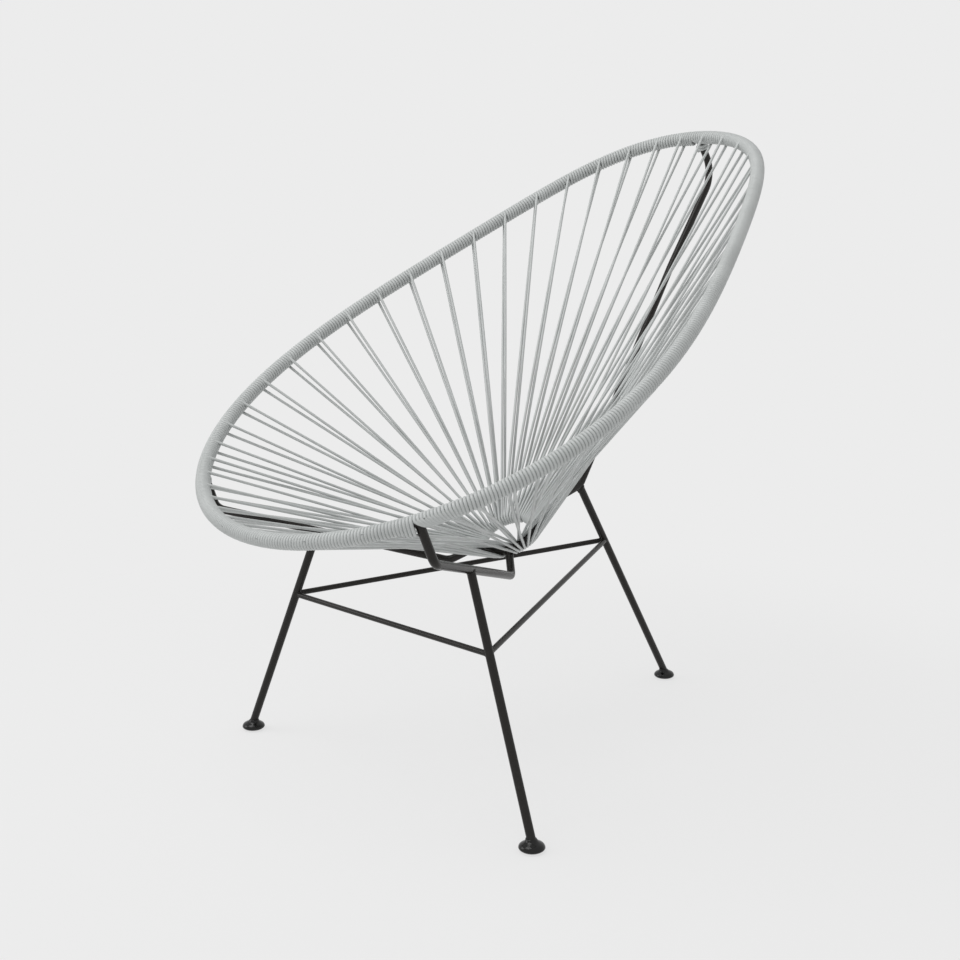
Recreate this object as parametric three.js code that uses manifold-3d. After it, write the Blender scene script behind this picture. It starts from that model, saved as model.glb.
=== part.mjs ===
// Acapulco chair: a sloping steel hoop wound with PVC cord, the cord strung from it in long loops to
// a small steel ring, and a three-legged frame of round bar that carries both.
// Millimetres, +Z up. The sitter faces -Y, and the sitter's left is +X. Places are measured along Y
// from the front tip of the hoop, and the finished chair is then centred over its footprint.

import * as THREE from 'three';
import { mergeVertices } from 'three/addons/utils/BufferGeometryUtils.js';
import Module from 'manifold-3d';

const wasm = await Module();
wasm.setup();

// Bars and cord
const frameBar = 12;
const stretcherBar = 8;
const cordDiameter = 4.8;
const strandDiameter = 4.1;
const weldGap = 0.3;
const cordGap = 0.3;

// Hoop: it lies in a plane that rises to the back, and its middle bows below that plane.
const hoopLength = 1060;
const hoopHalfWidth = 341;
const hoopBow = 10;
const hoopFrontHeight = 394;
const hoopTilt = THREE.MathUtils.degToRad(30);
const hoopWidthShares = [1, -0.114, 0.022, 0.029, 0.007];

// Inner ring, in the middle of the seat
const ringRadius = 42.5;
const ringY = 468.5;
const ringHeight = 322.2;
const ringTilt = THREE.MathUtils.degToRad(29);

// Front arms: down from the hoop, inwards under the seat, and up to the ring.
const frontArmHoopAngle = THREE.MathUtils.degToRad(146);
const frontArmElbow = { x: 231.5, y: 101.8, z: 381.2 };
const frontArmLowElbow = { x: 66, y: 406.9, z: 279.9 };
const frontArmRingAngle = THREE.MathUtils.degToRad(41);
const frontArmBend = 20;

// Back arm, in the middle plane: out behind the hoop, down the back, and in to the ring.
const backArmElbow = { y: 961.4, z: 867.5 };
const backArmWaist = { y: 851.7, z: 714.9 };
const backArmLowElbow = { y: 630.8, z: 375.1 };
const backArmBend = 47;
const backArmWaistBend = 230;
const backArmLowBend = 20;

// Legs: straight bars from the arms to the glides.
const frontFoot = { x: 301.4, y: 202.7 };
const backFoot = { y: 862 };
const frontLegShare = 0.42;
const backLegTop = { y: 630.4, z: 374 };
const frontStretcherHeight = 234.6;
const sideStretcherFrontHeight = 236.3;
const sideStretcherBackHeight = 275.2;
const sideStretcherParting = 1.6;

// Glides: domed discs with a collar that takes the end of the leg.
const glideRadius = 17.5;
const glideHeight = 14;
const glidePivotHeight = 12;
const glideCollarWall = 1.2;
const glideCollarHeight = 18;
const glideFloor = 3.3;
const glideRadiusShares = [0.5, 0.74, 0.93, 1, 0.97, 0.89, 0.75, 0.6, 0.45];
const glideHeightShares = [0, 0.11, 0.22, 0.36, 0.52, 0.66, 0.79, 0.9, 1];
const socketClearance = 0.3;

// Cord: loops round the ring, each with two strands, and turns round the hoop between the loops.
const loopCount = 52;
const loopsPerLength = 2;
const strandOffset = 6.6;
const strandLift = 6;
const rootDepthShare = 0.6;
const rootShiftShare = 0.8;
const strandRingOffset = 4.4;
const ringSpreadShare = 0.08;
const ringTurn = THREE.MathUtils.degToRad(-4);
const ribsPerLength = 2;
const ribDepthShare = 0.3;
const firstLoopPlace = 14.8;
const leftSpacingShare = 0.436;
const rightSpacingShare = 0.481;
const frontSpacingShare = -0.099;
const sideFullShare = 0.216;
const sideEndShare = 0.52;
const frontFullShare = 0.776;

// Places along each strand where its gap to its neighbour is measured
const gapPlaces = 60;

// Faces round each section
const barSides = 10;
const sleeveSides = 8;
const strandSides = 4;
const bendSteps = 5;
const hookSteps = 3;
const ringSteps = 30;
const glideSides = 18;

const steel = { color: 0x33312f, roughness: 0.45, metalness: 0.3 };
const plastic = { color: 0x1e1d1c, roughness: 0.5, metalness: 0 };
const pvc = { color: 0xb4b8b6, roughness: 0.4, metalness: 0 };

const vector = (x, y, z) => new THREE.Vector3(x, y, z);
const circumscribed = (radius, sides) => radius / Math.cos(Math.PI / sides);

// A closed skin over a row of rings that have as many points each. The row either runs back to its
// own first ring or is capped at both ends.
function skin(rings, closed) {
  const sides = rings[0].length;
  const positions = rings.flat().flatMap((point) => point.toArray());
  const index = [];
  const spans = closed ? rings.length : rings.length - 1;
  for (let ring = 0; ring < spans; ring += 1) {
    const here = ring * sides;
    const next = ((ring + 1) % rings.length) * sides;
    for (let side = 0; side < sides; side += 1) {
      const turn = (side + 1) % sides;
      index.push(here + side, here + turn, next + turn);
      index.push(here + side, next + turn, next + side);
    }
  }
  if (!closed) {
    const last = (rings.length - 1) * sides;
    for (let side = 1; side < sides - 1; side += 1) {
      index.push(0, side + 1, side);
      index.push(last, last + side, last + side + 1);
    }
  }
  const geometry = new THREE.BufferGeometry();
  geometry.setAttribute('position', new THREE.Float32BufferAttribute(positions, 3));
  geometry.setIndex(index);
  return geometry;
}

// Points of a regular section round a centre, across two directions at right angles to each other.
function sectionRing(centre, across, up, radius, sides) {
  const points = [];
  for (let side = 0; side < sides; side += 1) {
    const angle = ((side + 0.5) / sides) * 2 * Math.PI;
    points.push(centre.clone()
      .addScaledVector(across, radius * Math.cos(angle))
      .addScaledVector(up, radius * Math.sin(angle)));
  }
  return points;
}

// Joins and cuts
function solidOf(geometry) {
  const bare = geometry.clone();
  bare.deleteAttribute('normal');
  bare.deleteAttribute('uv');
  const merged = mergeVertices(bare);
  return new wasm.Manifold(new wasm.Mesh({
    numProp: 3,
    vertProperties: Float32Array.from(merged.attributes.position.array),
    triVerts: Uint32Array.from(merged.index.array),
  }));
}

function geometryOf(solid) {
  const mesh = solid.getMesh();
  const geometry = new THREE.BufferGeometry();
  geometry.setAttribute('position', new THREE.BufferAttribute(Float32Array.from(mesh.vertProperties), 3));
  geometry.setIndex(new THREE.BufferAttribute(Uint32Array.from(mesh.triVerts), 1));
  geometry.computeVertexNormals();
  return geometry;
}

function cut(geometry, ...tools) {
  return geometryOf(tools.reduce((solid, tool) => solid.subtract(solidOf(tool)), solidOf(geometry)));
}

function join(...geometries) {
  return geometryOf(geometries.map(solidOf).reduce((whole, solid) => whole.add(solid)));
}

// A straight round bar between two points
function straightBar(from, to, radius) {
  const axis = to.clone().sub(from);
  const bar = new THREE.CylinderGeometry(radius, radius, axis.length(), barSides);
  bar.applyQuaternion(new THREE.Quaternion().setFromUnitVectors(vector(0, 1, 0), axis.clone().normalize()));
  bar.translate(...from.clone().add(to).multiplyScalar(0.5).toArray());
  return bar;
}

// Straight runs joined by round bends. Its stations lie at the ends and round the bends alone.
class BentBar extends THREE.Curve {
  constructor(corners, bends) {
    super();
    this.stations = [];
    this.addStation(corners[0], corners[1].clone().sub(corners[0]).normalize());
    for (let corner = 1; corner < corners.length - 1; corner += 1) {
      this.addBend(corners[corner - 1], corners[corner], corners[corner + 1], bends[corner - 1]);
    }
    const [before, end] = corners.slice(-2);
    this.addStation(end, end.clone().sub(before).normalize());
  }

  addStation(point, direction) {
    this.stations.push({ point: point.clone(), direction: direction.clone() });
  }

  addBend(before, corner, after, radius) {
    const into = corner.clone().sub(before).normalize();
    const out = after.clone().sub(corner).normalize();
    const turn = into.angleTo(out);
    const start = corner.clone().addScaledVector(into, -radius * Math.tan(turn / 2));
    const side = out.clone().addScaledVector(into, -into.dot(out)).normalize();
    for (let step = 0; step <= bendSteps; step += 1) {
      const angle = (step / bendSteps) * turn;
      this.addStation(
        start.clone()
          .addScaledVector(into, radius * Math.sin(angle))
          .addScaledVector(side, radius * (1 - Math.cos(angle))),
        into.clone().multiplyScalar(Math.cos(angle)).addScaledVector(side, Math.sin(angle)),
      );
    }
  }

  get steps() {
    return this.stations.length - 1;
  }

  stationAt(share) {
    return this.stations[Math.round(share * this.steps)];
  }

  getPoint(share) {
    return this.stationAt(share).point.clone();
  }

  getPointAt(share) {
    return this.getPoint(share);
  }

  getTangentAt(share) {
    return this.stationAt(share).direction.clone();
  }
}

function bentBar(corners, bends, radius) {
  const route = new BentBar(corners, bends);
  const section = [];
  for (let side = 0; side < barSides; side += 1) {
    const angle = (side / barSides) * 2 * Math.PI;
    section.push(new THREE.Vector2(radius * Math.cos(angle), radius * Math.sin(angle)));
  }
  return new THREE.ExtrudeGeometry(new THREE.Shape(section), {
    steps: route.steps,
    bevelEnabled: false,
    extrudePath: route,
  });
}

// Hoop line: angle 0 is the top, at the back, and half a turn is the front tip.
const hoopPlaneUp = vector(0, -Math.sin(hoopTilt), Math.cos(hoopTilt));
const hoopPlaneBack = vector(0, Math.cos(hoopTilt), Math.sin(hoopTilt));

function hoopPoint(angle) {
  const along = (1 + Math.cos(angle)) / 2;
  const halfWidthShare = hoopWidthShares
    .reduce((sum, share, term) => sum + share * Math.sin((term + 1) * angle), 0);
  return vector(hoopHalfWidth * halfWidthShare, 0, hoopFrontHeight)
    .addScaledVector(hoopPlaneBack, hoopLength * along)
    .addScaledVector(hoopPlaneUp, -4 * hoopBow * along * (1 - along));
}

const hoopLine = new (class extends THREE.Curve {
  getPoint(share) {
    return hoopPoint(2 * Math.PI * share);
  }
})();
hoopLine.arcLengthDivisions = 2000;

function hoopFrame(share) {
  const whole = ((share % 1) + 1) % 1;
  const centre = hoopLine.getPointAt(whole);
  const along = hoopLine.getTangentAt(whole);
  const across = hoopPlaneUp.clone().cross(along).normalize();
  const up = along.clone().cross(across);
  return { centre, along, across, up };
}

// Places of the loops along the hoop: closer at the top and the front than at the sides, which the
// winder left a little different from each other.
function spacingWeight(bayShare) {
  const side = 2 * Math.min(bayShare, 1 - bayShare);
  const sideSpacingShare = bayShare < 0.5 ? leftSpacingShare : rightSpacingShare;
  const rise = THREE.MathUtils.smoothstep(side, 0, sideFullShare);
  const fall = THREE.MathUtils.smoothstep(side, sideEndShare, frontFullShare);
  return 1 + sideSpacingShare * rise + (frontSpacingShare - sideSpacingShare) * fall;
}

const bayEnds = [0];
for (let bay = 0; bay < loopCount; bay += 1) {
  bayEnds.push(bayEnds[bay] + spacingWeight((bay + 1) / loopCount));
}

// Share of the way round the hoop of a loop, or of a place between two loops.
function hoopShare(loop) {
  const whole = Math.floor(loop);
  const round = Math.floor(whole / loopCount);
  const bay = whole - round * loopCount;
  const reach = bayEnds[bay] + (loop - whole) * (bayEnds[bay + 1] - bayEnds[bay]);
  return round + reach / bayEnds[loopCount] + firstLoopPlace / hoopLine.getLength();
}

// Ring line: angle 0 is the back, towards the top of the hoop.
const ringCentre = vector(0, ringY, ringHeight);
const ringBack = vector(0, Math.cos(ringTilt), Math.sin(ringTilt));
const ringUp = vector(0, -Math.sin(ringTilt), Math.cos(ringTilt));

function ringFrame(angle) {
  const outwards = ringBack.clone().multiplyScalar(Math.cos(angle));
  outwards.x += Math.sin(angle);
  const centre = ringCentre.clone().addScaledVector(outwards, ringRadius);
  const along = outwards.clone().cross(ringUp);
  return { centre, outwards, along };
}

function ringAngle(loop) {
  const { centre } = hoopFrame(hoopShare(loop));
  const even = (loop / loopCount) * 2 * Math.PI + ringTurn;
  const straight = Math.atan2(centre.x, centre.clone().sub(ringCentre).dot(ringBack));
  const behind = (straight - even + 3 * Math.PI) % (2 * Math.PI) - Math.PI;
  return even + ringSpreadShare * behind;
}

// Steel parts
function ringBar(radius) {
  const bar = new THREE.TorusGeometry(ringRadius, radius, barSides, ringSteps);
  bar.rotateX(ringTilt);
  bar.translate(...ringCentre.toArray());
  return bar;
}

function hoopBar(radius) {
  const rings = [];
  for (let station = 0; station < loopCount; station += 1) {
    const { centre, across, up } = hoopFrame(hoopShare(station + 0.5));
    rings.push(sectionRing(centre, across, up, radius, barSides));
  }
  return skin(rings, true);
}

const barRadius = frameBar / 2;
const stretcherRadius = stretcherBar / 2;
const barCut = circumscribed(barRadius, barSides) + weldGap;
const hoopCut = hoopBar(barCut);
const ringCut = ringBar(barCut);

function frontArmCorners(side) {
  const top = hoopPoint(frontArmHoopAngle);
  const { centre: end } = ringFrame(Math.PI - frontArmRingAngle);
  return [
    vector(side * top.x, top.y, top.z),
    vector(side * frontArmElbow.x, frontArmElbow.y, frontArmElbow.z),
    vector(side * frontArmLowElbow.x, frontArmLowElbow.y, frontArmLowElbow.z),
    vector(side * end.x, end.y, end.z),
  ];
}

const frontArmBends = [frontArmBend, frontArmBend];
const backArmCorners = [
  hoopPoint(0),
  vector(0, backArmElbow.y, backArmElbow.z),
  vector(0, backArmWaist.y, backArmWaist.z),
  vector(0, backArmLowElbow.y, backArmLowElbow.z),
  ringFrame(0).centre,
];
const backArmBends = [backArmBend, backArmWaistBend, backArmLowBend];

const frontArm = (side, radius) => bentBar(frontArmCorners(side), frontArmBends, radius);
const backArm = (radius) => bentBar(backArmCorners, backArmBends, radius);

// Each leg's line runs through the middle of its glide, a little above the floor, to its weld.
function legLine(x, y, top) {
  const pivot = vector(x, y, glidePivotHeight);
  const direction = top.clone().sub(pivot).normalize();
  const line = { pivot, top, direction };
  line.start = legAt(line, glideFloor + barRadius * Math.sqrt(1 - direction.z ** 2));
  return line;
}

function legAt(line, height) {
  return line.pivot.clone().addScaledVector(line.direction, (height - glidePivotHeight) / line.direction.z);
}

function frontLegLine(side) {
  const [, elbow, lowElbow] = frontArmCorners(side);
  const top = elbow.clone().lerp(lowElbow, frontLegShare);
  return legLine(side * frontFoot.x, frontFoot.y, top);
}

const backLegLine = legLine(0, backFoot.y, vector(0, backLegTop.y, backLegTop.z));
const legBar = (line, radius) => straightBar(line.start, line.top, radius);

function stretcher(fromLine, from, toLine, to) {
  return cut(straightBar(from, to, stretcherRadius), legBar(fromLine, barCut), legBar(toLine, barCut));
}

function frontStretcher(rightLine, leftLine) {
  return stretcher(
    rightLine,
    legAt(rightLine, frontStretcherHeight),
    leftLine,
    legAt(leftLine, frontStretcherHeight),
  );
}

// The two side stretchers reach the back leg side by side.
function sideStretcher(side, frontLine) {
  const back = legAt(backLegLine, sideStretcherBackHeight);
  back.x += side * sideStretcherParting;
  return stretcher(frontLine, legAt(frontLine, sideStretcherFrontHeight), backLegLine, back);
}

// Glides
function glide(line) {
  const dome = glideRadiusShares
    .map((share, point) => new THREE.Vector2(share * glideRadius, glideHeightShares[point] * glideHeight));
  const profile = [new THREE.Vector2(0, 0), ...dome, new THREE.Vector2(0, glideHeight)];
  const disc = new THREE.LatheGeometry(profile, glideSides);
  disc.rotateX(Math.PI / 2);
  disc.translate(line.pivot.x, line.pivot.y, 0);
  const socketRadius = circumscribed(barRadius, barSides) + socketClearance;
  const collar = straightBar(line.pivot, legAt(line, glideCollarHeight), socketRadius + glideCollarWall);
  const socketStart = line.start.clone().addScaledVector(line.direction, -socketClearance);
  const socket = straightBar(socketStart, legAt(line, 2 * glideCollarHeight), socketRadius);
  return cut(join(disc, collar), socket);
}

// Cord: one length is the turns round the hoop over two bays, and the loops that leave it.
const cordRadius = cordDiameter / 2;
const strandRadius = strandDiameter / 2;
const crestRadius = barRadius + cordDiameter;
const valleyRadius = crestRadius - ribDepthShare * cordDiameter;
const boreRadius = circumscribed(barRadius + cordGap, sleeveSides);
const wallRadius = crestRadius - rootDepthShare * cordRadius;
const hookRadius = circumscribed(barRadius + strandRadius + cordGap, 2 * hookSteps);

function sleeve(firstLoop) {
  const gap = cordGap / 2 / hoopLine.getLength();
  const from = hoopShare(firstLoop - 0.5) + gap;
  const to = hoopShare(firstLoop + loopsPerLength - 0.5) - gap;
  const middle = hoopShare(firstLoop + 0.5);
  const ringAt = (share, radius) => {
    const { centre, across, up } = hoopFrame(share);
    return sectionRing(centre, across, up, radius, sleeveSides);
  };
  const rings = [];
  const steps = 2 * ribsPerLength;
  for (let step = 0; step <= steps; step += 1) {
    const share = from + ((to - from) * step) / steps;
    rings.push(ringAt(share, step % 2 ? crestRadius : valleyRadius));
  }
  rings.push(ringAt(to, boreRadius), ringAt(middle, boreRadius), ringAt(from, boreRadius));
  return skin(rings, true);
}

// The lower strands close up between the arm ends that are welded under the ring.
const armRingAngles = [0, Math.PI - frontArmRingAngle, Math.PI + frontArmRingAngle, 2 * Math.PI];
const armRoom = ((frameBar + strandDiameter) / 2 + cordGap) / ringRadius;

function clearOfArms(angle) {
  const round = Math.floor(angle / (2 * Math.PI)) * 2 * Math.PI;
  const next = armRingAngles.findIndex((arm) => arm > angle - round);
  const [from, to] = armRingAngles.slice(next - 1, next + 1);
  const share = (angle - round - from) / (to - from);
  return round + from + armRoom + share * (to - from - 2 * armRoom);
}

// Points of one loop: in from the top of the hoop, under the ring, up through its middle, over it,
// and back to the underside of the hoop, on the side that the turns come from.
function loopPoints(loop) {
  const hoop = hoopFrame(hoopShare(loop));
  const angle = ringAngle(loop);
  const clear = clearOfArms(angle);
  const over = ringFrame(angle);
  const under = ringFrame(clear);
  const rootShift = rootShiftShare * Math.max(0, angle - clear) * ringRadius;
  const reach = over.centre.clone().sub(hoop.centre).normalize();
  const hoopUp = reach.clone().cross(hoop.along).normalize();
  const hookUp = reach.clone().cross(over.along).normalize();
  const hookIn = over.along.clone().cross(hookUp).normalize();
  const inwards = reach.clone().addScaledVector(hoop.along, -reach.dot(hoop.along)).normalize();
  const root = Math.sqrt(wallRadius ** 2 - strandLift ** 2);
  const slant = Math.sqrt(1 - reach.dot(hoop.along) ** 2);
  const rootOffset = strandOffset / slant / 2;
  const points = [hoop.centre.clone()
    .addScaledVector(inwards, root)
    .addScaledVector(hoopUp, strandLift)
    .addScaledVector(hoop.along, rootOffset + rootShift)];
  for (let step = 0; step <= hookSteps; step += 1) {
    const share = step / hookSteps;
    const turn = share * Math.PI - Math.PI / 2;
    const start = step === 0 ? under : over;
    points.push(start.centre.clone()
      .addScaledVector(hookUp, hookRadius * Math.sin(turn))
      .addScaledVector(hookIn, hookRadius * Math.cos(turn))
      .addScaledVector(over.along, strandRingOffset * (0.5 - share)));
  }
  points.push(hoop.centre.clone()
    .addScaledVector(inwards, root)
    .addScaledVector(hoopUp, -strandLift)
    .addScaledVector(hoop.along, -rootOffset));
  return points;
}

function strand(points) {
  const rings = [];
  let across = null;
  for (let station = 0; station < points.length; station += 1) {
    const before = points[Math.max(station - 1, 0)];
    const after = points[Math.min(station + 1, points.length - 1)];
    const into = points[station].clone().sub(before).normalize();
    const out = after.clone().sub(points[station]).normalize();
    const along = into.add(out).normalize();
    across = across ?? vector(0, 0, 1).cross(along);
    across.addScaledVector(along, -across.dot(along)).normalize();
    rings.push(sectionRing(points[station], across, along.clone().cross(across), strandRadius, strandSides));
  }
  return skin(rings, false);
}

// Least gap between the two strands of a loop, from places along both.
function strandGap(points) {
  const inStrand = points.slice(0, 2);
  const outStrand = points.slice(-2);
  let least = Infinity;
  for (let place = 0; place <= gapPlaces; place += 1) {
    const here = inStrand[0].clone().lerp(inStrand[1], place / gapPlaces);
    for (let other = 0; other <= gapPlaces; other += 1) {
      const there = outStrand[0].clone().lerp(outStrand[1], other / gapPlaces);
      least = Math.min(least, here.distanceTo(there) - strandDiameter);
    }
  }
  return least;
}

// Assembly
const chair = new THREE.Group();

function add(name, geometry, look) {
  const mesh = new THREE.Mesh(geometry, new THREE.MeshStandardMaterial(look));
  mesh.name = name;
  chair.add(mesh);
}

const sides = { left: 1, right: -1 };
const legLines = { front_left: frontLegLine(1), front_right: frontLegLine(-1), back: backLegLine };

add('rim_hoop', hoopBar(barRadius), steel);
add('inner_ring', ringBar(barRadius), steel);
for (const [name, side] of Object.entries(sides)) {
  add(`arm_${name}`, cut(frontArm(side, barRadius), hoopCut, ringCut), steel);
  add(`leg_front_${name}`, cut(legBar(legLines[`front_${name}`], barRadius), frontArm(side, barCut)), steel);
  add(`stretcher_${name}`, sideStretcher(side, legLines[`front_${name}`]), steel);
}
add('arm_back', cut(backArm(barRadius), hoopCut, ringCut), steel);
add('leg_back', cut(legBar(backLegLine, barRadius), backArm(barCut)), steel);
add('stretcher_front', frontStretcher(legLines.front_right, legLines.front_left), steel);
for (const [name, line] of Object.entries(legLines)) {
  add(`glide_${name}`, glide(line), plastic);
}

let leastStrandGap = Infinity;
const armCuts = [frontArm(1, barCut), frontArm(-1, barCut), backArm(barCut)];
for (let firstLoop = 0; firstLoop < loopCount; firstLoop += loopsPerLength) {
  const parts = [sleeve(firstLoop)];
  for (let loop = firstLoop; loop < firstLoop + loopsPerLength; loop += 1) {
    const points = loopPoints(loop);
    leastStrandGap = Math.min(leastStrandGap, strandGap(points));
    parts.push(strand(points));
  }
  const number = String(firstLoop / loopsPerLength + 1).padStart(2, '0');
  add(`seat_cord_${number}`, cut(join(...parts), ...armCuts), pvc);
}

console.log(`least gap of the cord to itself: ${leastStrandGap.toFixed(2)} mm`);

// The origin is under the middle of the whole chair, on the floor.
const bounds = new THREE.Box3().setFromObject(chair);
const middle = bounds.getCenter(vector(0, 0, 0));
chair.position.set(-middle.x, -middle.y, -bounds.min.z);

export default chair;
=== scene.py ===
"""Acapulco chair, dressed for its looks: cord, round bars, weld beads, glides and a pale studio.

The chair's sizes are held in millimetres, and those of the studio and of all meshes in metres. +Z is up,
the sitter faces -Y, and the sitter's left is +X.
"""

import logging
import math
from collections.abc import Iterator, Sequence
from dataclasses import dataclass, field
from enum import Enum
from functools import cached_property

import bpy
import numpy as np
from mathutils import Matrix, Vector


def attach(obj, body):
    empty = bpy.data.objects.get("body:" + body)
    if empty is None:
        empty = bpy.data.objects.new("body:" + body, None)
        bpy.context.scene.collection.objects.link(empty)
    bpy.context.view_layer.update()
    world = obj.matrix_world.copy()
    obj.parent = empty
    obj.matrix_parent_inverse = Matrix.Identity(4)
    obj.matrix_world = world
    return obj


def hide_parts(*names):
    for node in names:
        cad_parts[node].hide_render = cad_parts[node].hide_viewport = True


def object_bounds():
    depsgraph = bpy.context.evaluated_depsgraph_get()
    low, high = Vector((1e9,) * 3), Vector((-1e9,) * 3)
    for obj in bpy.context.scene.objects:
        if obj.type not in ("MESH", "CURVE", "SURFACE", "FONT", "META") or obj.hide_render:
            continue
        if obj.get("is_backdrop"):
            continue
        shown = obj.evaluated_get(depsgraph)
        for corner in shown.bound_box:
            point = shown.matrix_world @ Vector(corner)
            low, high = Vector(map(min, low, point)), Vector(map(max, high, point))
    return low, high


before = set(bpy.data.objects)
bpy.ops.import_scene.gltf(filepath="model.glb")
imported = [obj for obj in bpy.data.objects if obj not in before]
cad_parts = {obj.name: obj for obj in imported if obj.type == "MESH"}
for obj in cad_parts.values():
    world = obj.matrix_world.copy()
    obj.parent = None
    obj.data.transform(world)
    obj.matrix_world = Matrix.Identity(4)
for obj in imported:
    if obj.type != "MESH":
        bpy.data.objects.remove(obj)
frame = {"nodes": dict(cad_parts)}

LOG = logging.getLogger("acapulco_chair")
MM = 0.001

CHAIR_MIDDLE = 472.258
"""How far the middle of the chair lies behind the front tip of the hoop, in millimetres."""

FRAME_BAR = 12.0
STRETCHER_BAR = 8.0
CORD = 4.8
"""Nominal diameters of the frame's bars, of the stretchers and of the cord, in millimetres."""

MERGE_WITHIN = 0.02
"""Points of a mesh that lie closer together than this, in millimetres, become one."""

BAR_SHARP_FROM = math.radians(35)
GLIDE_SHARP_FROM = math.radians(50)
TUBE_SHARP_FROM = math.radians(75)
"""The angles from which an edge of a bar, of a glide and of a tube stays sharp."""

SRGB_TOE_END = 0.04045
SRGB_TOE_SLOPE = 12.92
SRGB_OFFSET = 0.055
SRGB_GAMMA = 2.4
"""The sRGB curve: a straight toe and a power curve above it."""

RAMP_PLACES = (0.35, 0.65)
"""Where a pattern's dark colour ends and where its light one starts."""


def at(x: float, y: float, z: float) -> np.ndarray:
    """Places a point in the chair's frame.

    Args:
        x: Millimetres to the sitter's left of the middle plane.
        y: Millimetres behind the front tip of the hoop.
        z: Millimetres above the floor.

    Returns:
        The point in millimetres, measured from the frame's origin.
    """
    return np.array([x, y - CHAIR_MIDDLE, z], dtype=float)


def unit(vector: np.ndarray) -> np.ndarray:
    """Returns a vector, or each row of an array of them, at a length of one."""
    return vector / np.linalg.norm(vector, axis=-1, keepdims=True)


def smooth(share: np.ndarray) -> np.ndarray:
    """Turns an even run from 0 to 1 into one that starts and ends gently."""
    return share * share * (3 - 2 * share)


def nearest(distance: np.ndarray, whole: float) -> np.ndarray:
    """Takes distances round a closed line the shorter way, of at most half the whole round."""
    return np.mod(distance + whole / 2, whole) - whole / 2


# Materials


def linear(colour: str) -> tuple[float, float, float, float]:
    """Turns an sRGB hex colour into a linear one.

    Args:
        colour: Six hex digits after a hash sign.

    Returns:
        Red, green, blue and alpha for a shader's socket.
    """
    channels = []
    for start in (1, 3, 5):
        value = int(colour[start:start + 2], 16) / 255
        curve = ((value + SRGB_OFFSET) / (1 + SRGB_OFFSET)) ** SRGB_GAMMA
        channels.append(value / SRGB_TOE_SLOPE if value <= SRGB_TOE_END else curve)
    return channels[0], channels[1], channels[2], 1.0


def add_node(tree: bpy.types.NodeTree, kind: str, inputs: dict | None = None, **settings) -> bpy.types.Node:
    """Adds a node with its settings, and fills or links its inputs.

    Args:
        tree: The node tree that gets it.
        kind: The node's type.
        inputs: Socket names or numbers, each with a value or with another node's output.
        **settings: The node's own properties.

    Returns:
        The new node.
    """
    node = tree.nodes.new(kind)
    for name, value in settings.items():
        setattr(node, name, value)
    for name, value in (inputs or {}).items():
        socket = node.inputs[name]
        if isinstance(value, bpy.types.NodeSocket):
            tree.links.new(value, socket)
        else:
            socket.default_value = value
    return node


def empty_tree(owner: bpy.types.Material | bpy.types.World) -> bpy.types.NodeTree:
    """Gives a material or the world an empty node tree.

    Args:
        owner: The material or the world.

    Returns:
        The tree.
    """
    owner.use_nodes = True
    owner.node_tree.nodes.clear()
    return owner.node_tree


def grain(tree: bpy.types.NodeTree, size: float, detail: float = 2.0) -> bpy.types.Node:
    """Adds a noise whose patches are about as large as a real size.

    Args:
        tree: The node tree that gets it.
        size: Width of a patch in millimetres.
        detail: Octaves of the noise.

    Returns:
        The noise node, on Object coordinates.
    """
    place = add_node(tree, "ShaderNodeTexCoord")
    return add_node(tree, "ShaderNodeTexNoise",
                    {"Vector": place.outputs["Object"], "Scale": 1 / (size * MM), "Detail": detail})


def tint(tree: bpy.types.NodeTree, factor: bpy.types.NodeSocket, dark: str,
         light: str) -> bpy.types.NodeSocket:
    """Adds a ramp between two colours.

    Args:
        tree: The node tree that gets it.
        factor: The pattern that drives the ramp.
        dark: sRGB hex colour at the low end.
        light: sRGB hex colour at the high end.

    Returns:
        The colour output.
    """
    ramp = add_node(tree, "ShaderNodeValToRGB", {"Fac": factor})
    for element, place, colour in zip(ramp.color_ramp.elements, RAMP_PLACES, (dark, light)):
        element.position = place
        element.color = linear(colour)
    return ramp.outputs["Color"]


@dataclass(frozen=True)
class PvcCord:
    """Extruded PVC cord: coloured right through, satin, with a soft broad highlight."""

    slot: str = "grey_cord"
    dark: str = "#B7BAB9"
    light: str = "#BEC1C0"
    roughness: float = 0.36
    polish: float = 0.04
    wear: float = 0.06
    ior: float = 1.53
    patch: float = 60.0
    scuff: float = 18.0

    def material(self) -> bpy.types.Material:
        """Builds the cord's material.

        Returns:
            The material.
        """
        material = bpy.data.materials.new("PVC cord, light grey")
        tree = empty_tree(material)
        # Batches of plasticiser and dust leave patches a shade apart, a few centimetres long.
        colour = tint(tree, grain(tree, self.patch).outputs["Fac"], self.dark, self.light)
        # Handling dulls the skin of the cord here and there, a few widths of it at a time.
        dulled = add_node(tree, "ShaderNodeMapRange",
                          {"Value": grain(tree, self.scuff).outputs["Fac"],
                           "To Min": self.roughness - self.polish, "To Max": self.roughness + self.wear})
        shader = add_node(tree, "ShaderNodeBsdfPrincipled",
                          {"Base Color": colour, "Roughness": dulled.outputs["Result"], "IOR": self.ior})
        add_node(tree, "ShaderNodeOutputMaterial", {"Surface": shader.outputs["BSDF"]})
        return material


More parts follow.
